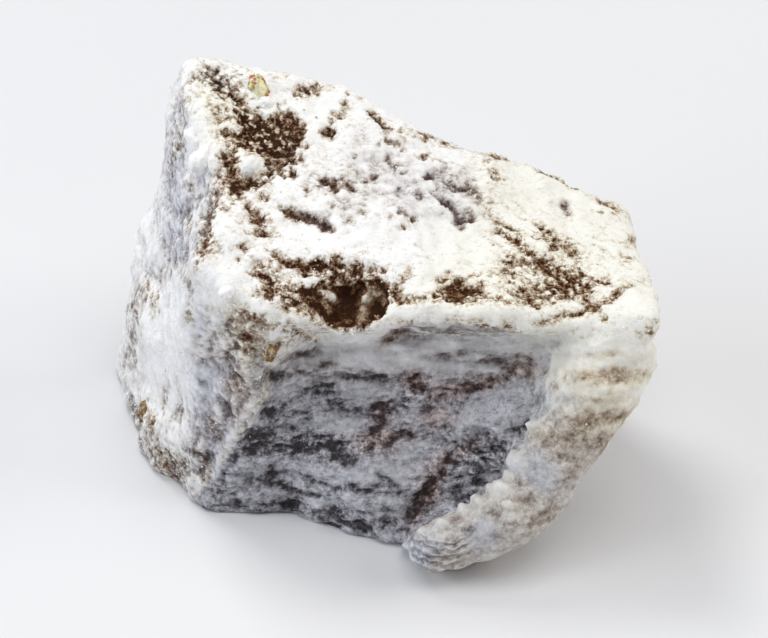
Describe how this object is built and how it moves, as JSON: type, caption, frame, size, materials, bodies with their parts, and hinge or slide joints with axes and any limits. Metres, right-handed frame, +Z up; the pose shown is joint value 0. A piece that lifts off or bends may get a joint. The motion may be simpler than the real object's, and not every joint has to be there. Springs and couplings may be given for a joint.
{
  "type": "pistachio turkish delight",
  "caption": "Hand-cut block of soft nut-studded gel sweet under a crust of icing sugar, with a hollow front face and a sagging tongue of gel.",
  "frame": {"origin": "middle of the bounding box on the flat underside", "axes": "+X along the longest side, towards the roll of gel; -Y towards the hollow face and the tongue; +Z up"},
  "size_m": [0.0412, 0.0302, 0.0281],
  "materials": {
    "icing_sugar": "dry powdery caked sugar, fully matte, thin enough in places to show the brown gel",
    "gel": "dark reddish-brown starch gel, slightly moist",
    "pistachio": "chopped nut, dull yellow-green with a red-brown skin"
  },
  "bodies": {
    "root": {"turkish_delight": "icing_sugar"}
  },
  "joints": []
}
